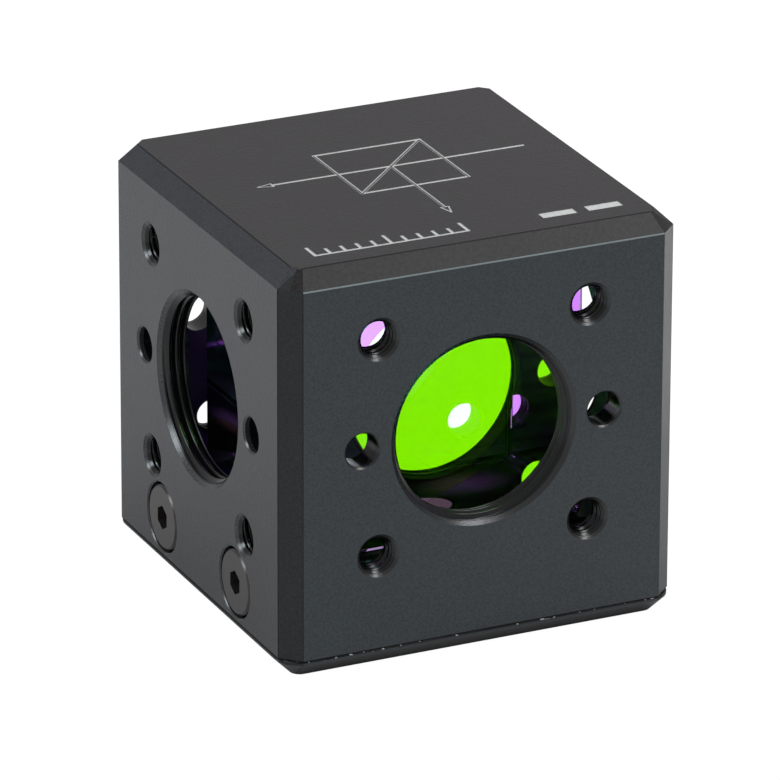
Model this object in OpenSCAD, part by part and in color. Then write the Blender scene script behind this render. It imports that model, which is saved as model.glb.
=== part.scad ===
// Cage cube with a beamsplitter: a thin-walled housing with four threaded ports,
// a bottom cover that carries the glass, and four side screws.
// Frame: origin on the underside at the middle, +Z up, the front port looks along -Y.

/* [Housing] */
// Outside width and depth
body_w = 30; // [29:0.5:34]
// Height of the port axis above the underside
axis_z = 16.4; // [16.2:0.1:18]
// Height of the top face above the port axis
top_rise = 13.6; // [13.2:0.1:16]
// Height of the seam with the cover, below the port axis
seam_drop = 15; // [15:0.1:15.6]
// Thickness of the four side walls
wall = 2; // [1.8:0.1:2.4]
// Thickness of the top wall
top_wall = 2.4; // [1.4:0.1:2.8]
// Radius of the cavity's milled corners
cavity_r = 3; // [1:0.5:4]
// Bevel around the top face
top_bevel = 1.27; // [0.4:0.01:1.8]
// Bevel on the four upright edges
corner_bevel = 1.35; // [0.4:0.05:2]
// Small edge break on both sides of the seam
seam_break = 0.06; // [0.02:0.02:0.2]

/* [Ports] */
// Major diameter of the port thread
port_d = 13.6; // [12:0.1:14.2]
// Rim diameter of the port's countersink
port_rim_d = 14.14; // [13.8:0.02:14.6]

/* [Cage pattern] */
// Spacing of the rod holes, both ways
cage_pitch = 16; // [15.6:0.1:16.4]
// Major diameter of the rod holes' thread
cage_d = 2.84; // [2.2:0.02:3]
// Rim diameter of their countersink
cage_rim_d = 3.2; // [3.06:0.02:3.3]
// Spacing of the two plain holes on the port axis
side_pitch = 18.4; // [18:0.1:19]
// Diameter of the plain holes
side_d = 2.5; // [2:0.1:2.8]
// Rim diameter of their edge break
side_rim_d = 2.76; // [2.62:0.02:2.9]

/* [Cover] */
// Radius of the cover's upright corners
cover_r = 1.9; // [1.4:0.1:3]
// Bevel around the underside
cover_bevel = 1.15; // [0.4:0.05:1.3]
// Clearance between the cover's boss and the cavity, each side
boss_gap = 0.05; // [0.03:0.01:0.15]
// Height of the raised pad under the glass
pad_h = 0.3; // [0.1:0.05:0.4]
// Width of the raised pad
pad_w = 20.6; // [15:0.1:23]
// Major diameter of the post thread in the underside
post_d = 4.16; // [3:0.02:5]
// Depth of the post thread
post_depth = 5; // [3:0.1:5.2]
// Edge break at the post thread's mouth
post_break = 0.3; // [0.1:0.05:0.5]

/* [Side screws] */
// Height of the screw axes above the seam
screw_rise = 2.85; // [2.8:0.05:2.9]
// Spacing of the two screws on one side
screw_pitch = 12.7; // [10:0.1:12.8]
// Diameter of the screw head
head_d = 4.8; // [4.2:0.05:4.9]
// Height of the screw head
head_h = 1.1; // [0.9:0.05:1.15]
// Radial gap around the head in its counterbore
head_gap = 0.18; // [0.1:0.01:0.34]
// How far the head lies below the side face
head_sink = 0.02; // [0.02:0.02:0.2]
// Edge break around the counterbore
bore_break = 0.1; // [0.02:0.01:0.15]
// Bevel around the head
head_bevel = 0.16; // [0.05:0.01:0.3]
// Width across the flats of the hexagon socket
hex_w = 1.59; // [1.2:0.01:2]
// Depth of the hexagon socket
hex_depth = 0.8; // [0.3:0.05:0.85]
// Diameter of the screw's threaded shank
shank_d = 2.84; // [2.2:0.02:2.86]
// Length of the shank under the head
shank_l = 4.8; // [3:0.1:5.6]
// Clearance around the shank in the wall
shank_room = 0.18; // [0.05:0.01:0.3]
// Radial clearance of the shank in the tapped hole
thread_gap = 0.02; // [0.01:0.01:0.05]
// Free depth past the shank's end
tap_spare = 0.5; // [0.2:0.1:1]

/* [Glass] */
// Side of the glass cube
glass_w = 20; // [16:0.1:21]
// Bevel on the edges of the glass
glass_bevel = 0.3; // [0.1:0.05:0.6]
// Thickness of the cement between the two prisms
cement_t = 0.04; // [0.02:0.01:0.1]
// Thickness of the adhesive under the glass
bond_t = 0.05; // [0.02:0.01:0.15]
// Distance of the adhesive's edge from the edge of the glass
bond_inset = 0.8; // [0.4:0.1:5]

/* [Marking] */
// Width of the marked lines
mark_w = 0.26; // [0.1:0.02:0.4]
// Depth of the marking
mark_depth = 0.04; // [0.02:0.01:0.1]
// Side of the square in the beam diagram
diagram_w = 8.15; // [6:0.05:9]
// Centre of the square, across the top face
diagram_x = 0.6; // [-1:0.1:1]
// Centre of the square, along the top face
diagram_y = 1.65; // [0:0.05:3]
// Length of the beam that goes straight through
beam_l = 20.4; // [14:0.1:21]
// Length of the turned beam, from the middle of the square
turned_l = 9.9; // [6:0.1:10.5]
// Length of the arrow heads' sides
arrow_l = 1.15; // [0.8:0.05:2]
// Width of the arrow heads' lines
arrow_w = 0.13; // [0.08:0.01:0.3]
// Half angle of the arrow heads
arrow_a = 15; // [10:1:35]
// Distance of the scale and the bars from the front edge of the housing
scale_edge = 3.05; // [2.2:0.05:4]
// Distance of the scale from the left side of the housing
scale_side = 3.63; // [2.2:0.01:5]
// Length of the scale's base line
scale_l = 11.5; // [6:0.5:12]
// Number of the scale's divisions
scale_n = 10; // [5:1:12]
// Length of the long divisions
tick_l = 1.5; // [0.8:0.1:2]
// Length of the short divisions
short_tick_l = 0.9; // [0.4:0.1:1.5]
// Divisions from one long one to the next
long_every = 5; // [2:1:6]
// Length of each of the two bars
bar_l = 2.6; // [1:0.1:3]
// Width of the two bars
bar_w = 0.9; // [0.5:0.05:1.5]

/* [Hidden] */
$fn = 96;
eps = 0.01;
half = body_w / 2;
top_z = axis_z + top_rise;
seam_z = axis_z - seam_drop;
cavity_w = body_w - 2 * wall;
cavity_top = top_z - top_wall;
corner_across = (body_w - corner_bevel) * sqrt(2);
glass_z = axis_z - glass_w / 2;
pad_z = glass_z - bond_t;
boss_z = pad_z - pad_h;
screw_z = seam_z + screw_rise;
seat_x = half - head_sink - head_h;
counterbore_d = head_d + 2 * head_gap;
tap_d = shank_d + 2 * thread_gap;
tap_end = seat_x - shank_l - tap_spare;
port_cs = (port_rim_d - port_d) / 2;
cage_cs = (cage_rim_d - cage_d) / 2;
side_cs = (side_rim_d - side_d) / 2;
scale_x = -half + scale_side;
scale_y = -half + scale_edge;
bars_x = half - scale_edge - 2 * bar_l - bar_w;

// Upright section of a block, bevelled at its upper and lower edges
module section(w, h, upper, lower) {
    a = w / 2;
    polygon([[-a + lower, 0], [a - lower, 0], [a, lower], [a, h - upper],
             [a - upper, h], [upper - a, h], [-a, h - upper], [-a, lower]]);
}

// Block with bevelled upright edges, and a bevel all round its upper and lower faces
module bevelled_block(h, upper, lower) {
    intersection_for (k = [0 : 3])
        rotate([0, 0, 45 * k])
            rotate([90, 0, 0])
                linear_extrude(2 * body_w, center = true)
                    section(k % 2 == 0 ? body_w : corner_across, h, upper, lower);
}

// Square prism with round upright corners
module round_block(w, r, h) {
    translate([r - w / 2, -w / 2, 0]) cube([w - 2 * r, w, h]);
    translate([-w / 2, r - w / 2, 0]) cube([w, w - 2 * r, h]);
    for (x = [-1, 1], y = [-1, 1])
        translate([x * (w / 2 - r), y * (w / 2 - r), 0]) cylinder(h, r, r);
}

// Square plate with round upright corners, and a bevel all round its upper and lower faces
module round_plate(w, r, h, upper, lower) {
    for (turn = [0, 90])
        rotate([0, 0, turn])
            rotate([90, 0, 0])
                linear_extrude(w - 2 * r, center = true)
                    section(w, h, upper, lower);
    for (x = [-1, 1], y = [-1, 1])
        translate([x * (w / 2 - r), y * (w / 2 - r), 0])
            rotate_extrude()
                polygon([[0, 0], [r - lower, 0], [r, lower], [r, h - upper], [r - upper, h], [0, h]]);
}

// Hole along X through the wall at +X, with a countersunk rim on the outside
module wall_hole(d, sink) {
    rotate([0, 90, 0]) {
        translate([0, 0, half - wall - eps]) cylinder(wall + 2 * eps, d / 2, d / 2);
        translate([0, 0, half - sink]) cylinder(sink + eps, d / 2, d / 2 + sink + eps);
    }
}

// The holes of one face: the port, four rod holes and two plain holes
module face_holes() {
    wall_hole(port_d, port_cs);
    for (y = [-1, 1]) {
        translate([0, y * side_pitch / 2, 0]) wall_hole(side_d, side_cs);
        for (z = [-1, 1])
            translate([0, y * cage_pitch / 2, z * cage_pitch / 2]) wall_hole(cage_d, cage_cs);
    }
}

// Places what is drawn on the +X side at each of the four side screws
module at_screw(side, end) {
    translate([0, end * screw_pitch / 2, screw_z]) rotate([0, 0, side > 0 ? 0 : 180]) children();
}

// Counterbore and clearance hole of a side screw
module screw_recess() {
    rotate([0, 90, 0]) {
        translate([0, 0, seat_x]) cylinder(wall, counterbore_d / 2, counterbore_d / 2);
        translate([0, 0, half - bore_break])
            cylinder(bore_break + eps, counterbore_d / 2, counterbore_d / 2 + bore_break + eps);
        translate([0, 0, half - wall - eps])
            cylinder(wall, shank_d / 2 + shank_room, shank_d / 2 + shank_room);
    }
}

// A marked line of width w on the top face from point a to point b
module mark_line(a, b, w = mark_w) {
    d = b - a;
    translate([a[0], a[1], top_z - mark_depth])
        rotate([0, 0, atan2(d[1], d[0])])
            translate([-w / 2, -w / 2, 0])
                cube([norm(d) + w, w, mark_depth + eps]);
}

// An arrow head that points along the angle dir, with its tip at p
module mark_arrow(p, dir) {
    left = p - arrow_l * [cos(dir - arrow_a), sin(dir - arrow_a)];
    right = p - arrow_l * [cos(dir + arrow_a), sin(dir + arrow_a)];
    mark_line(p, left, arrow_w);
    mark_line(p, right, arrow_w);
    mark_line(left, right, arrow_w);
}

// The common diagram of a beamsplitter: a square, its diagonal and the two beams
module beam_diagram() {
    c = [diagram_x, diagram_y];
    s = diagram_w / 2;
    corners = [c + [-s, -s], c + [s, -s], c + [s, s], c + [-s, s]];
    for (k = [0 : 3]) mark_line(corners[k], corners[(k + 1) % 4]);
    mark_line(corners[0], corners[2]);
    mark_line(c - [beam_l / 2 - arrow_l, 0], c + [beam_l / 2, 0]);
    mark_arrow(c - [beam_l / 2, 0], 180);
    mark_line(c, c - [0, turned_l - arrow_l]);
    mark_arrow(c - [0, turned_l], -90);
}

// A plain scale of divisions along the front edge
module edge_scale() {
    mark_line([scale_x, scale_y], [scale_x + scale_l, scale_y]);
    for (k = [0 : scale_n]) {
        x = scale_x + k * scale_l / scale_n;
        mark_line([x, scale_y], [x, scale_y + (k % long_every == 0 ? tick_l : short_tick_l)]);
    }
}

// Two equal bars, for two equal shares of the light
module equal_bars() {
    for (k = [0, 1])
        translate([bars_x + k * (bar_l + bar_w), scale_y, top_z - mark_depth])
            cube([bar_l, bar_w, mark_depth + eps]);
}

module housing() {
    color([0.17, 0.17, 0.18])
        difference() {
            translate([0, 0, seam_z])
                bevelled_block(top_z - seam_z, top_bevel, seam_break);
            translate([0, 0, seam_z - eps])
                round_block(cavity_w, cavity_r, cavity_top - seam_z + eps);
            for (k = [0 : 3])
                translate([0, 0, axis_z]) rotate([0, 0, 90 * k]) face_holes();
            for (side = [-1, 1], end = [-1, 1]) at_screw(side, end) screw_recess();
            beam_diagram();
            edge_scale();
            equal_bars();
        }
}

// Plate that closes the housing from below, with a boss inside it and a pad for the glass
module base_cover() {
    color([0.14, 0.14, 0.15])
        difference() {
            union() {
                round_plate(body_w, cover_r, seam_z, seam_break, cover_bevel);
                translate([0, 0, seam_z - eps])
                    round_block(cavity_w - 2 * boss_gap, cavity_r - boss_gap, boss_z - seam_z + eps);
                translate([-pad_w / 2, -pad_w / 2, boss_z - eps]) cube([pad_w, pad_w, pad_h + eps]);
            }
            for (side = [-1, 1], end = [-1, 1])
                at_screw(side, end)
                    translate([tap_end, 0, 0]) rotate([0, 90, 0]) cylinder(half - tap_end, tap_d / 2, tap_d / 2);
            translate([0, 0, -eps]) cylinder(post_depth + eps, post_d / 2, post_d / 2);
            translate([0, 0, -eps])
                cylinder(post_break + eps, post_d / 2 + post_break + eps, post_d / 2);
        }
}

// Square of side w with its corners cut off by c
module cut_square(w, c) {
    a = w / 2;
    polygon([[c - a, -a], [a - c, -a], [a, c - a], [a, a - c],
             [a - c, a], [c - a, a], [-a, a - c], [-a, c - a]]);
}

// The whole glass cube about the port axis, with all its edges bevelled
module glass_cube() {
    translate([0, 0, axis_z])
        intersection() {
            linear_extrude(glass_w, center = true) cut_square(glass_w, glass_bevel);
            rotate([90, 0, 0]) linear_extrude(glass_w, center = true) cut_square(glass_w, glass_bevel);
            rotate([0, 90, 0]) linear_extrude(glass_w, center = true) cut_square(glass_w, glass_bevel);
        }
}

// The half of the glass cube on one side of the diagonal from front left to rear right
module prism(side) {
    color([0.75, 0.85, 0.95, 0.6])
        intersection() {
            glass_cube();
            translate([0, 0, glass_z - eps])
                rotate([0, 0, 45 + (side > 0 ? 180 : 0)])
                    translate([-glass_w, cement_t / 2, 0]) cube([2 * glass_w, glass_w, glass_w + 2 * eps]);
        }
}

module prism_front() prism(1);

module prism_rear() prism(-1);

// Cement with the beam-dividing coating, on the diagonal
module cement_layer() {
    color([0.75, 0.35, 0.8, 0.7])
        intersection() {
            glass_cube();
            translate([0, 0, glass_z - eps])
                rotate([0, 0, 45])
                    translate([-glass_w, -cement_t / 2, 0]) cube([2 * glass_w, cement_t, glass_w + 2 * eps]);
        }
}

// Adhesive between the pad and the glass
module glass_bond() {
    bond_w = glass_w - 2 * bond_inset;
    color([0.85, 0.83, 0.75])
        translate([-bond_w / 2, -bond_w / 2, pad_z]) cube([bond_w, bond_w, bond_t]);
}

// Low-head socket screw along X, its head towards +X
module side_screw() {
    r = head_d / 2;
    color([0.3, 0.28, 0.27])
        rotate([0, 90, 0])
            difference() {
                rotate_extrude()
                    polygon([[0, seat_x - shank_l], [shank_d / 2 - head_bevel, seat_x - shank_l],
                             [shank_d / 2, seat_x - shank_l + head_bevel], [shank_d / 2, seat_x],
                             [r, seat_x], [r, seat_x + head_h - head_bevel],
                             [r - head_bevel, seat_x + head_h], [0, seat_x + head_h]]);
                translate([0, 0, seat_x + head_h - hex_depth])
                    cylinder(hex_depth + eps, hex_w / sqrt(3), hex_w / sqrt(3), $fn = 6);
            }
}

module screw_left_front() at_screw(-1, -1) side_screw();

module screw_left_rear() at_screw(-1, 1) side_screw();

module screw_right_front() at_screw(1, -1) side_screw();

module screw_right_rear() at_screw(1, 1) side_screw();

housing();
base_cover();
prism_front();
prism_rear();
cement_layer();
glass_bond();
screw_left_front();
screw_left_rear();
screw_right_front();
screw_right_rear();
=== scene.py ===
# Beamsplitter cube: finishes, threads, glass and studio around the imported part, in metres.
import math

import bpy
import numpy as np
from mathutils import Matrix


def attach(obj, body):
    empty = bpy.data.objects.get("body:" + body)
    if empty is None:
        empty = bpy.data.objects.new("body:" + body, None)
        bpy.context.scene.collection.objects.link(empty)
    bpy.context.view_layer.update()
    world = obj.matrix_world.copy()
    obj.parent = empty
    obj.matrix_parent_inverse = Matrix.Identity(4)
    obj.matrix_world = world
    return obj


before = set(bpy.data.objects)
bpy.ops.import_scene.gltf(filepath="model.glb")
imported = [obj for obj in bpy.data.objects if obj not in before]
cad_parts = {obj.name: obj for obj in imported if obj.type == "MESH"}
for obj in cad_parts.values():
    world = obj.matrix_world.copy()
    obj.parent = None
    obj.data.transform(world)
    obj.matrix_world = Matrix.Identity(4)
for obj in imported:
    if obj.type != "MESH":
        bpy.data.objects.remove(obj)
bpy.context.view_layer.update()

mm = 0.001
print("frame loaded:", ", ".join(sorted(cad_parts)))


class Val:
    # wraps an output socket, so that arithmetic on it adds Math nodes
    def __init__(self, maker, socket):
        self.maker, self.socket = maker, socket

    def math(self, operation, *others, clamp=False, swapped=False):
        terms = others + (self,) if swapped else (self,) + others
        values = dict(enumerate(terms))
        settings = {"operation": operation, "use_clamp": clamp}
        return self.maker.node("ShaderNodeMath", settings, values).out(0)

    def __add__(self, other): return self.math("ADD", other)
    def __radd__(self, other): return self.math("ADD", other)
    def __sub__(self, other): return self.math("SUBTRACT", other)
    def __rsub__(self, other): return self.math("SUBTRACT", other, swapped=True)
    def __mul__(self, other): return self.math("MULTIPLY", other)
    def __rmul__(self, other): return self.math("MULTIPLY", other)
    def __abs__(self): return self.math("ABSOLUTE")
    def __gt__(self, other): return self.math("GREATER_THAN", other)
    def __lt__(self, other): return self.math("LESS_THAN", other)

    def most(self, other): return self.math("MAXIMUM", other)
    def least(self, other): return self.math("MINIMUM", other)
    def power(self, other): return self.math("POWER", other)
    def clamp(self): return self.math("ADD", 0.0, clamp=True)

    def ramp(self, low, high):
        # 0 below low, 1 above high, a smooth step between
        settings = {"interpolation_type": "SMOOTHSTEP"}
        values = {"Value": self, "From Min": low, "From Max": high}
        return self.maker.node("ShaderNodeMapRange", settings, values).out("Result")


class Node:
    # a node whose outputs are handed out wrapped
    def __init__(self, maker, raw):
        self.maker, self.raw = maker, raw

    def out(self, name=0): return Val(self.maker, self.raw.outputs[name])


class Maker:
    # builds the nodes of one material or world
    def __init__(self, owner):
        owner.use_nodes = True
        self.tree = owner.node_tree
        self.tree.nodes.clear()
        self.placed = 0

    def node(self, kind, settings=None, values=None):
        raw = self.tree.nodes.new(kind)
        raw.location = (220 * (self.placed % 12), -260 * (self.placed // 12))
        self.placed += 1
        for name, setting in (settings or {}).items():
            setattr(raw, name, setting)
        for name, value in (values or {}).items():
            if isinstance(value, Val):
                self.tree.links.new(value.socket, raw.inputs[name])
            else:
                raw.inputs[name].default_value = value
        return Node(self, raw)

    def coords(self):
        return self.node("ShaderNodeTexCoord").out("Object")

    def place(self):
        # Object coordinates as they are, and in millimetres as three values
        coords = self.coords()
        parts = self.node("ShaderNodeSeparateXYZ", None, {0: coords})
        return coords, [parts.out(axis) * 1000.0 for axis in "XYZ"]

    def noise(self, coords, size, detail=2.0, roughness=0.5):
        # noise whose blotches are about size millimetres across
        values = {"Vector": coords, "Scale": 1000.0 / size, "Detail": detail, "Roughness": roughness}
        return self.node("ShaderNodeTexNoise", None, values).out(0)

    def stretched(self, coords, scales):
        # coordinates scaled per axis, for grain that runs one way
        settings = {"operation": "MULTIPLY"}
        return self.node("ShaderNodeVectorMath", settings, {0: coords, 1: scales}).out(0)

    def mixColour(self, share, first, second, blend="MIX"):
        values = {0: share, 6: first, 7: second}
        return self.node("ShaderNodeMix", {"data_type": "RGBA", "blend_type": blend}, values).out(2)

    def bump(self, height, depth, strength):
        # depth in millimetres
        values = {"Height": height, "Distance": depth * mm, "Strength": strength}
        return self.node("ShaderNodeBump", None, values).out(0)

    def mixShader(self, share, first, second):
        return self.node("ShaderNodeMixShader", None, {0: share, 1: first, 2: second}).out(0)

    def shader(self, kind, colour, rough=None, ior=None):
        # a plain shader node: kind is its name without the common first part
        values = {"Color": colour, "Roughness": rough, "IOR": ior}
        values = {name: value for name, value in values.items() if value is not None}
        return self.node("ShaderNodeBsdf" + kind, None, values).out(0)

    def principled(self, values):
        return self.node("ShaderNodeBsdfPrincipled", None, values).out(0)

    def addShader(self, first, second):
        return self.node("ShaderNodeAddShader", None, {0: first, 1: second}).out(0)

    def finishWith(self, shader, kind="ShaderNodeOutputMaterial"):
        self.node(kind, None, {"Surface": shader})


def tinted(colour, share=1.0):
    # a colour with its opacity, made lighter or darker by share
    return tuple(v * share for v in colour) + (1,)


def newMaterial(name):
    material = bpy.data.materials.new(name)
    return material, Maker(material)


def dress(name, material):
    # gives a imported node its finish
    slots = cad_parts[name].material_slots
    if not slots:
        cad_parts[name].data.materials.append(material)
    for held in slots:
        held.material = material


camera = {"azimuth": -25.003, "elevation": 22.118, "roll": 0.209, "distance": 0.562,
          "across": -0.169 * mm, "up": -2.39 * mm, "aimZ": 16.4 * mm, "sensor": 36.0, "lens": 368.905,
          "clipStart": 0.01, "clipEnd": 20.0}


def makeCamera(c):
    azimuth, elevation, roll = (math.radians(c[k]) for k in ("azimuth", "elevation", "roll"))
    back = np.array([math.sin(azimuth) * math.cos(elevation),
                     -math.cos(azimuth) * math.cos(elevation), math.sin(elevation)])
    level = np.cross([0, 0, 1], back)
    level /= np.linalg.norm(level)
    upright = np.cross(back, level)
    right = level * math.cos(roll) + upright * math.sin(roll)
    top = upright * math.cos(roll) - level * math.sin(roll)
    spot = back * c["distance"] + right * c["across"] + top * c["up"] + [0, 0, c["aimZ"]]
    data = bpy.data.cameras.new("camera")
    data.sensor_width, data.lens = c["sensor"], c["lens"]
    data.clip_start, data.clip_end = c["clipStart"], c["clipEnd"]
    seat = np.eye(4)
    seat[:3, 0], seat[:3, 1], seat[:3, 2], seat[:3, 3] = right, top, back, spot
    holder = bpy.data.objects.new("camera", data)
    bpy.context.collection.objects.link(holder)
    holder.matrix_world = Matrix(seat.tolist())
    bpy.context.scene.camera = holder


makeCamera(camera)
print("camera placed")


studio = {"ambient": 0.50, "floorSize": 3.0, "floorWhite": 0.84, "floorGlow": 1.03, "floorShare": 0.96,
          "mirrorShare": 0.08, "white": (1.0, 1.0, 1.0),
          "lamps": [
              # name, place, aim, width, height, power, colour, spread in degrees
              ("rightBox", (0.40, -0.28, 0.63), (0, 0, 0.016), 0.72, 0.18, 3.5, (0.95, 0.98, 1.0), 180),
              ("leftBox", (-0.583, 0.08, 0.42), (0, 0, 0.016), 0.22, 0.30, 2.4, (0.86, 0.95, 1.0), 180),
              ("floorBox", (0.085, 0.02, 0.22), (0.075, 0.02, 0), 0.04, 0.04, 0.038,
               (1.0, 0.98, 0.96), 40)]}


def plainWhite(maker, mirrorShare):
    # 1 for camera and glass rays, which see the plain white surroundings, and a part of it
    # for mirror rays
    path = maker.node("ShaderNodeLightPath")
    seen = path.out("Is Camera Ray").most(path.out("Is Transmission Ray"))
    return seen.most(path.out("Is Glossy Ray") * mirrorShare)


def makeStudio(s):
    scene = bpy.context.scene
    scene.view_settings.view_transform = "Standard"
    scene.world = bpy.data.worlds.new("studio")
    maker = Maker(scene.world)
    levels = [{"Color": tinted(s["white"]), "Strength": level} for level in (s["ambient"], 1.0)]
    soft, white = (maker.node("ShaderNodeBackground", None, values).out(0) for values in levels)
    seen = plainWhite(maker, s["mirrorShare"])
    maker.finishWith(maker.mixShader(seen, soft, white), "ShaderNodeOutputWorld")

    material, maker = newMaterial("floorPaper")
    paper = maker.shader("Diffuse", tinted(s["white"], s["floorWhite"]))
    values = {"Color": tinted(s["white"]), "Strength": s["floorGlow"]}
    glow = maker.node("ShaderNodeEmission", None, values).out(0)
    seen = plainWhite(maker, s["mirrorShare"])
    maker.finishWith(maker.mixShader(seen * s["floorShare"], paper, glow))
    reach = s["floorSize"] / 2
    mesh = bpy.data.meshes.new("floor")
    mesh.from_pydata([(-reach, -reach, 0), (reach, -reach, 0), (reach, reach, 0), (-reach, reach, 0)],
                     [], [(0, 1, 2, 3)])
    mesh.materials.append(material)
    floor = bpy.data.objects.new("floor", mesh)
    bpy.context.collection.objects.link(floor)

    for name, place, aim, width, height, power, colour, spread in s["lamps"]:
        data = bpy.data.lights.new(name, "AREA")
        data.shape, data.size, data.size_y = "RECTANGLE", width, height
        data.energy, data.color, data.spread = power, colour, math.radians(spread)
        lamp = bpy.data.objects.new(name, data)
        bpy.context.collection.objects.link(lamp)
        back = np.array(place) - np.array(aim)
        back /= np.linalg.norm(back)
        side = np.cross([0, 0, 1], back)
        side /= np.linalg.norm(side)
        seat = np.eye(4)
        seat[:3, 0], seat[:3, 1], seat[:3, 2], seat[:3, 3] = side, np.cross(back, side), back, place
        lamp.matrix_world = Matrix(seat.tolist())


makeStudio(studio)
print("studio ready")


anodised = {"frontLitTone": (0.0088, 0.0150, 0.0180), "sideLitTone": (0.0145, 0.0128, 0.0150),
            "topLitTone": (0.0078, 0.0048, 0.0075), "bevelLitTone": (0.0054, 0.0036, 0.0038),
            "cornerLitTone": (0.0100, 0.0106, 0.0122), "ledgeLitTone": (0.0265, 0.0275, 0.0330),
            "boreTone": (0.0045, 0.0045, 0.0050), "coneLitTone": (0.0300, 0.0292, 0.0315),
            "frontConeLitTone": (0.0108, 0.0122, 0.0128), "cavityGreenLight": (0.0150, 0.0370, 0.0150),
            "glowTone": (0.0240, 0.0014, 0.0600), "fleckTone": (0.06, 0.06, 0.062),
            "markTone": (0.60, 0.60, 0.59), "edgeGlintTone": (0.19, 0.23, 0.23), "dentTone": (0.45, 0.45, 0.46),
            "lineTone": (0.006, 0.006, 0.006), "lineRough": 0.6, "lineShine": 0.1, "lineShare": 0.7,
            "faceRough": 0.40, "bevelRough": 0.42, "boreRough": 0.20, "coneRougher": 0.08,
            "markRougher": 0.25,
            "faceShine": 0.50, "bevelShine": 0.25, "boreShine": 0.32,
            "half": 15.0, "inner": 13.0, "glassHalf": 10.0, "coneDepth": 0.45, "topZ": 30.0, "near": 0.02,
            "topBevel": 1.27, "cornerBevel": 1.35, "coverBevel": 1.15, "lineWidth": 0.07, "edgeWidth": 0.09,
            "seamZ": 1.4, "seamHalf": 0.10, "seamReach": 0.3,
            "topReach": 0.1, "lineSlack": 0.01, "sideLine": 0.7, "seamLeast": 1.0, "seamSwing": 0.6,
            "grainSize": 0.16, "cloudSize": 5.0, "mottleSize": 0.30, "streakSize": 4.0, "turningSize": 0.09,
            "turningScale": (0.08, 0.08, 1.0), "streakScale": (1.0, 1.0, 4.0),
            "mottleLevels": (0.38, 0.62), "mottleDark": 0.3, "mottleLight": 2.1,
            "streakLevels": (0.35, 0.65), "streakDark": 0.3, "streakLight": 1.7,
            "cloudSwing": 0.5, "grainSwing": 2.6, "faceGrain": 1.2, "glintLeast": 0.55, "glintSwing": 0.5,
            "cloudRough": 0.06, "grainRough": 0.12,
            "fleckSize": 0.10, "fleckLevels": (0.64, 0.74), "fleckShare": 0.35,
            "dentSize": 0.45, "dentLevel": 0.655, "dentShare": 0.40,
            "dentFront": 0.6, "dentInset": 1.0, "dentDrop": 0.1,
            "reliefDepth": 0.014, "reliefStrength": 0.5, "sideRelief": 5.0, "grainRelief": 0.9,
            "turningRelief": 0.8, "mottleRelief": 0.8,
            "markDepth": 0.04, "markReach": 26.2, "markGrain": 0.12, "markDrop": 0.02, "markLift": 0.004,
            "markInset": 0.1, "markMean": 0.82, "markSwing": 0.7, "coreWidth": 0.12, "coreShare": 0.95,
            "square": 8.15, "squareX": 0.6, "squareY": 1.65, "turnedLength": 9.9, "arrowLength": 1.15}


def lineCores(x, y, a):
    # the unmarked middle of the marked lines that run along y and of the diagonal:
    # 1 where the distance to the line's own axis is under half the core's width
    side, half = a["square"] / 2, a["coreWidth"] / 2
    u, v = x - a["squareX"], y - a["squareY"]
    within = (abs(v) < side) * (abs(u) < side + half)
    edges = (abs(abs(u) - side) < half) * within
    diagonal = (abs(u - v) < half * math.sqrt(2)) * within
    turned = (abs(u) < half) * (v < 0.0) * (v > a["arrowLength"] - a["turnedLength"])
    return edges.most(diagonal).most(turned)


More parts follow.
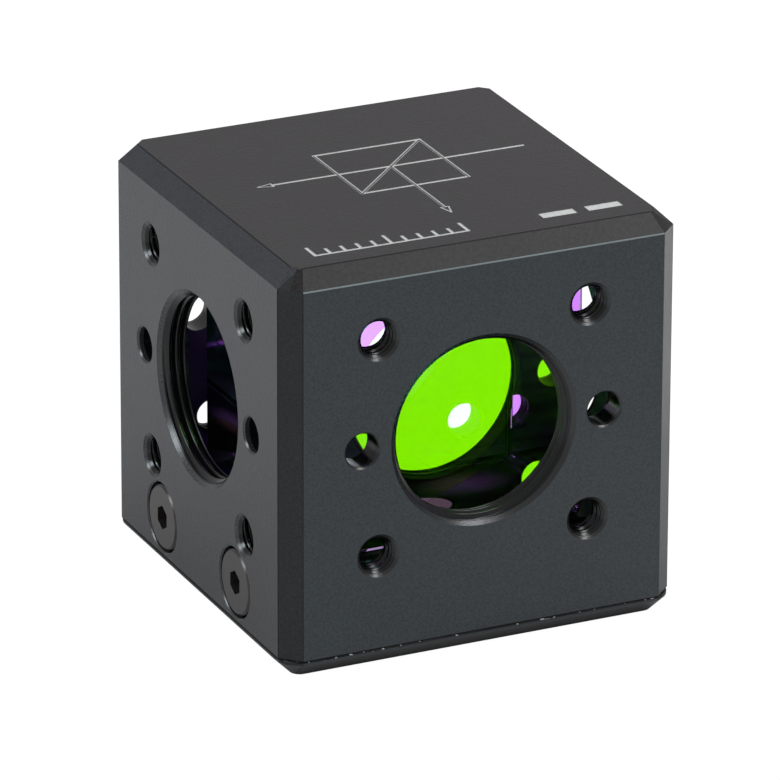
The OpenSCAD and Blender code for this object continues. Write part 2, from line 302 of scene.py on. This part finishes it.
def makeAnodised(name, a, marked, share=1.0, dented=False):
    material, maker = newMaterial(name)
    coords, (x, y, z) = maker.place()
    wide, narrow = abs(x).most(abs(y)), abs(x).least(abs(y))
    plateau, corner = a["half"] - a["topBevel"], a["half"] - a["cornerBevel"]
    shoulder = a["topZ"] - a["topBevel"]
    # which finish a point has: broad faces, bevels between them, cavity, and all that is bored
    onSide = wide > a["half"] - a["near"]
    onTop = (z > a["topZ"] - a["topReach"]) * (wide < plateau)
    flat = onSide.most(onTop)
    bevelled = (z > shoulder).most(narrow > corner - a["near"]).most(z < a["coverBevel"] + a["near"])
    outer = flat.most(bevelled)
    cavity = (wide < a["inner"] + a["near"]) * (1 - outer)
    frontal = abs(y) > a["half"] - a["near"]

    grain = maker.noise(coords, a["grainSize"], 3.0, 0.65)
    cloud = maker.noise(coords, a["cloudSize"], 2.0)
    mottle = maker.noise(coords, a["mottleSize"], 4.0, 0.7)
    turning = maker.noise(maker.stretched(coords, a["turningScale"]), a["turningSize"], 1.0)
    fleck = maker.noise(coords, a["fleckSize"], 1.0).ramp(*a["fleckLevels"])

    # painted light: each broad face gets its own tone for how it is lit: teal on the front and rear, lilac
    # on the sides, darker on the top
    face = maker.mixColour(frontal, tinted(a["sideLitTone"], share), tinted(a["frontLitTone"], share))
    face = maker.mixColour(onTop, face, tinted(a["topLitTone"], share))
    # the bevels above the front and rear faces are mottled, the ones above the sides and the
    # upright corners are smooth
    mottled = (z > shoulder) * (abs(y) > abs(x)) * (1 - flat)
    # painted light: the bevels get tones by which way they face, the top bevels above the sides lightest,
    # the upright corners and the cover's bevel darker, and those above the front and rear a mottled darker
    # tone
    smooth = maker.mixColour((z > shoulder) * (narrow < corner), tinted(a["cornerLitTone"], share),
                             tinted(a["ledgeLitTone"], share))
    uneven = maker.mixColour(mottle.ramp(*a["mottleLevels"]),
                             tinted(a["bevelLitTone"], a["mottleDark"] * share),
                             tinted(a["bevelLitTone"], a["mottleLight"] * share))
    bevel = maker.mixColour(mottled, smooth, uneven)
    # painted light: the coating's violet light, painted onto the left half of the cavity's rear wall
    glow = (narrow < a["glassHalf"]) * (y > 0.0) * (x < 0.0)
    # painted light: the rest of the cavity shows level streaks of the coating's green light, painted in
    streaks = maker.noise(maker.stretched(coords, a["streakScale"]), a["streakSize"], 2.0)
    paintedGreen = maker.mixColour(streaks.ramp(*a["streakLevels"]),
                            tinted(a["cavityGreenLight"], a["streakDark"]),
                            tinted(a["cavityGreenLight"], a["streakLight"]))
    inside = maker.mixColour(glow, paintedGreen, tinted(a["glowTone"]))
    bore = maker.mixColour(cavity, tinted(a["boreTone"]), inside)
    # painted light: the countersinks are paler than the bores, most of all on the side faces, for the light
    # they catch; those on the front and rear are tinted bluish for their glint
    cone = (wide > a["half"] - a["coneDepth"]) * (1 - cavity) * (1 - outer)
    litCone = maker.mixColour(abs(x) > abs(y), tinted(a["frontConeLitTone"]), tinted(a["coneLitTone"]))
    bore = maker.mixColour(cone, bore, litCone)
    outside = maker.mixColour(flat, bevel, face)
    # the blasted finish varies around 1, with the clouds and more strongly with the grain
    blasted = (cloud - 0.5) * a["cloudSwing"] + (grain - 0.5) * (flat * a["faceGrain"] + a["grainSwing"])
    blasted = blasted + 1.0
    outside = maker.mixColour(1.0, outside, blasted, "MULTIPLY")
    colour = maker.mixColour(outer, bore, outside)
    colour = maker.mixColour(fleck * outer * a["fleckShare"], colour, tinted(a["fleckTone"]))
    # painted highlight: a bright line where the top bevel meets the front and rear faces, for that edge's
    # glint
    edgeGlint = frontal * (z > shoulder - a["edgeWidth"]) * (z < shoulder + a["near"])
    edgeGlint = edgeGlint * (cloud * a["glintSwing"] + a["glintLeast"])
    colour = maker.mixColour(edgeGlint.clamp(), colour, tinted(a["edgeGlintTone"]))
    rough = flat * (a["faceRough"] - a["bevelRough"]) + a["bevelRough"]
    rough = rough + (1 - outer) * (a["boreRough"] - a["bevelRough"])
    rough = rough + cavity * (a["faceRough"] - a["boreRough"]) + cone * a["coneRougher"]
    rough = rough + (cloud - 0.5) * a["cloudRough"] + (grain - 0.5) * a["grainRough"]
    # painted shade: dark lines round the top face and down both sides of the corner bevels, for those
    # edges' shade
    edges = (z > a["topZ"] - a["lineWidth"]) * (wide > plateau - a["lineSlack"])
    beside = (narrow > corner - a["lineSlack"]) * (narrow < corner + a["lineWidth"] * a["sideLine"])
    edges = edges.most(beside * (z < shoulder))
    if marked:
        floorZ = a["topZ"] - a["markDepth"]
        mark = (z > floorZ - a["markDrop"]) * (z < a["topZ"] - a["markLift"])
        mark = mark * (wide < plateau - a["markInset"])
        mark = mark * (abs(x) + abs(y) < a["markReach"])
        mark = mark * (1 - lineCores(x, y, a) * a["coreShare"])
        flecked = (maker.noise(coords, a["markGrain"], 2.0) - 0.5) * a["markSwing"] + a["markMean"]
        colour = maker.mixColour(mark * flecked.clamp(), colour, tinted(a["markTone"]))
        rough = rough + mark * a["markRougher"]
        edges = edges * (1 - mark)
    # the seam between housing and cover is a dark line of uneven depth
    seam = (abs(z - a["seamZ"]) < a["seamHalf"]) * (wide > a["half"] - a["seamReach"])
    edges = edges.most(seam * (cloud * a["seamSwing"] + a["seamLeast"]))
    if dented:
        # small bright dents along the seam's front edge
        dents = maker.noise(coords, a["dentSize"], 1.0) > a["dentLevel"]
        dents = dents * (z > a["seamZ"] - a["dentDrop"])
        dents = dents * (y < a["dentFront"] - a["half"]) * (abs(x) < a["half"] - a["dentInset"])
        colour = maker.mixColour(dents * a["dentShare"], colour, tinted(a["dentTone"]))
        edges = edges * (1 - dents)
    relief = grain * (flat * (1 - frontal) * a["sideRelief"] + a["grainRelief"])
    relief = relief + turning * (1 - outer) * a["turningRelief"] + mottle * mottled * a["mottleRelief"]
    normal = maker.bump(relief, a["reliefDepth"], a["reliefStrength"])
    shaders = []
    for shine in ("bevelShine", "boreShine", "faceShine"):
        values = {"Base Color": colour, "Roughness": rough.clamp(), "Normal": normal,
                  "Specular IOR Level": a[shine]}
        shaders.append(maker.principled(values))
    dark = maker.principled({"Base Color": tinted(a["lineTone"]), "Roughness": a["lineRough"],
                             "Specular IOR Level": a["lineShine"]})
    surface = maker.mixShader(outer, shaders[1], shaders[0])
    surface = maker.mixShader(flat.most(cone), surface, shaders[2])
    maker.finishWith(maker.mixShader(edges * a["lineShare"], surface, dark))
    return material


housingBlack = makeAnodised("housingBlack", anodised, marked=True)
coverBlack = makeAnodised("coverBlack", anodised, marked=False, share=0.85, dented=True)
dress("housing", housingBlack)
dress("base_cover", coverBlack)
print("anodised metal done")


screwSteel = {"tone": (0.058, 0.051, 0.049), "rough": 0.34, "pitch": 12.7, "axisZ": 4.25,
              "ringScale": 9.0, "ringNoise": 3.0, "blotchSize": 0.5, "metallic": 0.75,
              "darkShare": 0.7, "lightShare": 1.3, "blotchRough": 0.12, "ringRough": 0.1,
              "reliefDepth": 0.01, "reliefStrength": 0.3}


def makeSteel(s):
    material, maker = newMaterial("screwSteel")
    coords, (x, y, z) = maker.place()
    # distance to the nearer screw's axis: the root of across^2 + rise^2
    across = abs(y) - s["pitch"] / 2
    rise = z - s["axisZ"]
    radius = (across * across + rise * rise).power(0.5)
    rings = maker.node("ShaderNodeTexNoise", {"noise_dimensions": "1D"},
                       {"W": radius * s["ringScale"], "Scale": s["ringNoise"], "Detail": 2.0}).out(0)
    blotch = maker.noise(coords, s["blotchSize"], 3.0)
    colour = maker.mixColour(blotch, tinted(s["tone"], s["darkShare"]), tinted(s["tone"], s["lightShare"]))
    rough = s["rough"] + (blotch - 0.5) * s["blotchRough"] + (rings - 0.5) * s["ringRough"]
    values = {"Base Color": colour, "Roughness": rough.clamp(), "Metallic": s["metallic"],
              "Normal": maker.bump(rings, s["reliefDepth"], s["reliefStrength"])}
    maker.finishWith(maker.principled(values))
    return material


steel = makeSteel(screwSteel)
for screwName in ("screw_left_front", "screw_left_rear", "screw_right_front", "screw_right_rear"):
    dress(screwName, steel)
print("screws done")


prismGlass = {"ior": 1.52, "passTint": (0.86, 0.62, 1.0), "mirrorTint": (0.238, 0.860, 0.0),
              "grazeTint": (0.15, 0.55, 0.50), "grazeLevels": (0.20, 0.42),
              "half": 10.0, "axisZ": 16.4, "edge": 0.01, "cement": 0.04,
              "bevelTint": (0.60, 0.60, 0.68), "shadeTint": (0.012, 0.012, 0.017), "bevelRough": 0.18,
              "bevelHaze": 0.02, "bevelReach": 0.5, "litHalf": 6.5, "cloudSize": 1.6,
              "dustSize": 0.3, "dustLevels": (0.72, 0.8), "dustShare": 0.03,
              "powderTone": (0.85, 0.85, 0.88),
              "endTint": (0.95, 0.93, 0.97), "endRough": 0.45, "endHaze": 0.985, "hazeSwing": 0.03,
              "groundTone": (0.005, 0.005, 0.006), "groundRough": 0.9, "groundShine": 0.05,
              "groundGlow": (0.38, 0.25, 0.56), "groundGlowMin": 0.03, "cloudLeast": 0.6, "cloudSwing": 0.8,
              "glowStrength": 0.078, "glowX": 5.0, "glowY": 4.4, "glowReach": 4.2,
              "rearGlow": (0.29, 0.26, 0.14), "glowFade": (-6.0, 2.0),
              "wetRadius": 2.65, "wetTone": (0.20, 0.17, 0.17), "wetGlow": (1.35, 1.15, 1.25),
              "filmPass": 0.86, "filmMirror": (0.32, 0.30, 0.34), "filmLevels": (0.25, 0.5),
              "clear": (1.0, 1.0, 1.0)}


def makePrismGlass(g):
    material, maker = newMaterial("prismGlass")
    coords, (x, y, z) = maker.place()
    rise = z - g["axisZ"]
    onPort = abs(x).most(abs(y)) > g["half"] - g["edge"]
    onEnd = abs(rise) > g["half"] - g["edge"]
    onDiagonal = (abs(x - y) < g["cement"]) * (1 - onEnd)
    # polished and coated faces: bent through with a violet tint, mirrored outside in green
    bent = maker.shader("Refraction", tinted(g["passTint"]), 0.0, g["ior"])
    inside = maker.shader("Glass", tinted(g["passTint"]), 0.0, g["ior"])
    mirror = maker.shader("Glossy", tinted(g["mirrorTint"]), 0.0)
    graze = maker.shader("Glossy", tinted(g["grazeTint"]), 0.0)
    facing = maker.node("ShaderNodeLayerWeight", None, {"Blend": 0.5}).out("Facing")
    sheen = maker.mixShader(facing.ramp(*g["grazeLevels"]), mirror, graze)
    behind = maker.node("ShaderNodeNewGeometry").out("Backfacing")
    coated = maker.mixShader(behind, maker.addShader(bent, sheen), inside)
    dust = maker.noise(coords, g["dustSize"], 3.0).ramp(*g["dustLevels"])
    powder = maker.shader("Diffuse", tinted(g["powderTone"]))
    coated = maker.mixShader(dust * g["dustShare"], coated, powder)
    # the bevelled edges are a soft glass with a little powder, tinted as painted light and shade: pale
    # beside the front port, near black on the others and on the ends of the lower ones
    rim = g["bevelReach"] - g["half"]
    inShade = (y > rim).most((rise < rim) * (abs(x) > g["litHalf"]))
    softBevel = maker.shader("Glass", tinted(g["bevelTint"]), g["bevelRough"], g["ior"])
    shadedBevel = maker.shader("Glass", tinted(g["shadeTint"]), g["bevelRough"], g["ior"])
    bevel = maker.mixShader(inShade, maker.mixShader(g["bevelHaze"], softBevel, powder), shadedBevel)
    cloud = maker.noise(coords, g["cloudSize"], 2.0)
    softEnd = maker.shader("Glass", tinted(g["endTint"]), g["endRough"], g["ior"])
    # a round spot in the middle of the underside is wetted by the adhesive; its light is painted in as a
    # glow
    radius = (x * x + y * y).power(0.5)
    wet = (radius < g["wetRadius"]) * (rise < 0.0)
    # painted light: the ground ends glow a little, most round one place towards the far ports, for the
    # light scattered there
    fromX, fromY = x - g["glowX"], y - g["glowY"]
    fall = (fromX * fromX + fromY * fromY).power(0.5).ramp(0.0, g["glowReach"])
    lit = (1 - fall) * (1 - g["groundGlowMin"]) + g["groundGlowMin"]
    lit = lit * (cloud * g["cloudSwing"] + g["cloudLeast"]) * (x + y).ramp(*g["glowFade"])
    # the painted glow is violet on the front prism and browner on the rear one
    glow = maker.mixColour(x > y, tinted(g["rearGlow"]), tinted(g["groundGlow"]))
    glow = maker.mixColour(1.0, glow, lit, "MULTIPLY")
    values = {"Base Color": maker.mixColour(wet, tinted(g["groundTone"]), tinted(g["wetTone"])),
              "Roughness": g["groundRough"], "Specular IOR Level": g["groundShine"],
              "Emission Strength": g["glowStrength"],
              "Emission Color": maker.mixColour(wet, glow, tinted(g["wetGlow"]))}
    ground = maker.principled(values)
    share = (cloud - 0.5) * g["hazeSwing"] + g["endHaze"]
    end = maker.mixShader(share.most(wet), softEnd, ground)
    through = maker.shader("Transparent", tinted(g["clear"]))
    surface = maker.mixShader(onPort, bevel, coated)
    surface = maker.mixShader(onEnd, surface, end)
    maker.finishWith(maker.mixShader(onDiagonal, surface, through))
    return material


def makeFilm(g):
    material, maker = newMaterial("dividingFilm")
    x, y, z = maker.place()[1]
    # the dividing film lies on the layer's side towards the front prism; its ends are dark
    low, high = (g["cement"] * level for level in g["filmLevels"])
    onFilm = (x - y).ramp(low, high) * (abs(x - y) < g["cement"])
    passing = maker.shader("Transparent", tinted(g["clear"], g["filmPass"]))
    mirror = maker.shader("Glossy", tinted(g["filmMirror"]), 0.0)
    through = maker.shader("Transparent", tinted(g["clear"]))
    film = maker.addShader(passing, mirror)
    onEnd = abs(z - g["axisZ"]) > g["half"] - g["edge"]
    dark = maker.shader("Diffuse", tinted(g["groundTone"]))
    maker.finishWith(maker.mixShader(onEnd, maker.mixShader(onFilm, through, film), dark))
    return material


glass = makePrismGlass(prismGlass)
dress("prism_front", glass)
dress("prism_rear", glass)
dress("cement_layer", makeFilm(prismGlass))
print("glass done")


adhesive = {"tone": (0.62, 0.58, 0.46), "darkShare": 0.8, "rough": 0.35, "roughSwing": 0.2,
            "cloudSize": 1.2, "reliefDepth": 0.02, "reliefStrength": 0.3}


def makeAdhesive(a):
    material, maker = newMaterial("clearAdhesive")
    coords = maker.coords()
    cloud = maker.noise(coords, a["cloudSize"], 3.0)
    colour = maker.mixColour(cloud, tinted(a["tone"], a["darkShare"]), tinted(a["tone"]))
    rough = a["rough"] + (cloud - 0.5) * a["roughSwing"]
    values = {"Base Color": colour, "Roughness": rough.clamp(),
              "Normal": maker.bump(cloud, a["reliefDepth"], a["reliefStrength"])}
    maker.finishWith(maker.principled(values))
    return material


dress("glass_bond", makeAdhesive(adhesive))
print("adhesive done")


threadMetal = {"tone": (0.003, 0.003, 0.0034), "darkShare": 0.6, "lightShare": 1.4, "rough": 0.20,
               "roughSwing": 0.15, "grainSize": 0.1, "cloudSize": 1.0, "shine": 0.35,
               "reliefDepth": 0.01, "reliefStrength": 0.3}
portThread = {"bore": 6.8, "crest": 6.42, "pitch": 0.635, "rim": 7.07, "coneDepth": 0.37,
              "steps": 240, "rows": 56}
rodThread = {"bore": 1.42, "crest": 1.18, "pitch": 0.635, "rim": 1.6, "coneDepth": 0.42,
             "steps": 72, "rows": 48}
postThread = {"bore": 2.08, "crest": 1.78, "pitch": 0.79, "rim": 2.38, "coneDepth": 0.6,
              "steps": 96, "rows": 100}
wallFrame = {"half": 15.0, "wall": 1.996, "axisZ": 16.4, "rodOffset": 8.0, "sink": 0.03,
             "postDepth": 4.95, "crestFlat": 0.18, "flankShare": 0.7, "endSlope": 0.9, "endLift": 0.22}


def makeThreadBlack(t):
    material, maker = newMaterial("threadBlack")
    coords = maker.coords()
    grain = maker.noise(coords, t["grainSize"], 2.0)
    cloud = maker.noise(coords, t["cloudSize"], 2.0)
    colour = maker.mixColour(cloud, tinted(t["tone"], t["darkShare"]), tinted(t["tone"], t["lightShare"]))
    rough = t["rough"] + (grain - 0.5) * t["roughSwing"]
    values = {"Base Color": colour, "Roughness": rough.clamp(), "Specular IOR Level": t["shine"],
              "Normal": maker.bump(grain, t["reliefDepth"], t["reliefStrength"])}
    maker.finishWith(maker.principled(values))
    return material


def threadSurface(t, depth, w):
    # A ring round the axis. At turn a and depth d its inner radius follows a zigzag of
    # d / pitch - a between crest and bore. Of each pitch, crestFlat is flat at the crest,
    # flankShare is flank and the rest is flat at the bore's radius. At the mouth a 45 degree
    # cone opens it: the radius is rim - d as far as the depth coneDepth, and at least that
    # beyond. Towards the far end it is at least bore - endSlope * (depth - d) - endLift. The
    # outside is a plain cylinder sunk into the wall, so that each cross-section is a closed loop.
    start = t["rim"] - t["bore"]
    turn = np.linspace(0, 1, t["steps"], endpoint=False)[:, None]
    down = np.linspace(start, depth, t["rows"])[None, :]
    phase = (down / t["pitch"] - turn) % 1.0
    zigzag = np.clip((abs(2 * phase - 1) - w["crestFlat"]) / w["flankShare"], 0, 1)
    inner = t["crest"] + (t["bore"] - t["crest"]) * zigzag
    cone = t["rim"] - down
    inner = np.where(down < t["coneDepth"], cone, np.maximum(inner, cone))
    inner = np.maximum(inner, t["bore"] - w["endSlope"] * (depth - down) - w["endLift"])
    outer = np.full((t["steps"], 2), t["bore"] + w["sink"])
    radius = np.hstack([inner, outer])
    ends = np.tile([depth, start], (t["steps"], 1))
    along = np.hstack([np.broadcast_to(down, inner.shape), ends])
    angle = 2 * math.pi * turn
    points = np.stack([radius * np.cos(angle), radius * np.sin(angle), -along], -1)
    return points.reshape(-1, 3), radius.shape


def ringFaces(shape):
    # point k of row j is number j * rows + k; a quad joins each point to the next in its row
    # and to the next row, and both counts wrap round, so the skin is closed
    count, rows = shape
    a = np.arange(count)[:, None]
    b = np.arange(rows)[None, :]
    a2, b2 = (a + 1) % count, (b + 1) % rows
    quads = np.stack([a * rows + b, a * rows + b2, a2 * rows + b2, a2 * rows + b], -1)
    return quads.reshape(-1, 4)


def placeOut(points, centre, outward, across):
    # a point (p, q, r) goes to centre + p * across + q * up + r * outward, with up square to both
    up = np.cross(outward, across)
    turn = np.stack([across, up, outward], 0)
    return points @ turn + centre


def volume(points, quads):
    # a sixth of the sum of p1 . (p2 x p3) + p1 . (p3 x p4) over the faces: positive if they
    # point out
    first, second, third, fourth = (points[quads[:, k]] for k in range(4))
    return (np.einsum("ij,ij->", first, np.cross(second, third))
            + np.einsum("ij,ij->", first, np.cross(third, fourth))) / 6


def addPiece(name, points, quads, material):
    if volume(points, quads) < 0:
        quads = quads[:, ::-1]
    mesh = bpy.data.meshes.new(name)
    mesh.from_pydata((points * mm).tolist(), [], quads.tolist())
    mesh.polygons.foreach_set("use_smooth", np.ones(len(quads), dtype=bool))
    mesh.materials.append(material)
    piece = bpy.data.objects.new(name, mesh)
    bpy.context.collection.objects.link(piece)
    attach(piece, "root")


def addThreads(w, material):
    faces = {"Front": ((0, -1, 0), (1, 0, 0)), "Right": ((1, 0, 0), (0, 1, 0)),
             "Rear": ((0, 1, 0), (-1, 0, 0)), "Left": ((-1, 0, 0), (0, -1, 0))}
    portPoints, portShape = threadSurface(portThread, w["wall"], w)
    rodPoints, rodShape = threadSurface(rodThread, w["wall"], w)
    for faceName, (outward, across) in faces.items():
        outward, across = np.array(outward, float), np.array(across, float)
        mouth = outward * w["half"] + [0, 0, w["axisZ"]]
        addPiece("portThread" + faceName, placeOut(portPoints, mouth, outward, across),
                 ringFaces(portShape), material)
        rings, ringQuads = [], []
        for side in (-1, 1):
            for rise in (-1, 1):
                spot = mouth + across * side * w["rodOffset"] + [0, 0, rise * w["rodOffset"]]
                ringQuads.append(ringFaces(rodShape) + len(rings) * len(rodPoints))
                rings.append(placeOut(rodPoints, spot, outward, across))
        addPiece("rodThreads" + faceName, np.vstack(rings), np.vstack(ringQuads), material)
    points, shape = threadSurface(postThread, w["postDepth"], w)
    addPiece("postThread", placeOut(points, np.zeros(3), np.array([0, 0, -1.0]), np.array([1.0, 0, 0])),
             ringFaces(shape), material)


addThreads(wallFrame, makeThreadBlack(threadMetal))
print("threads done")
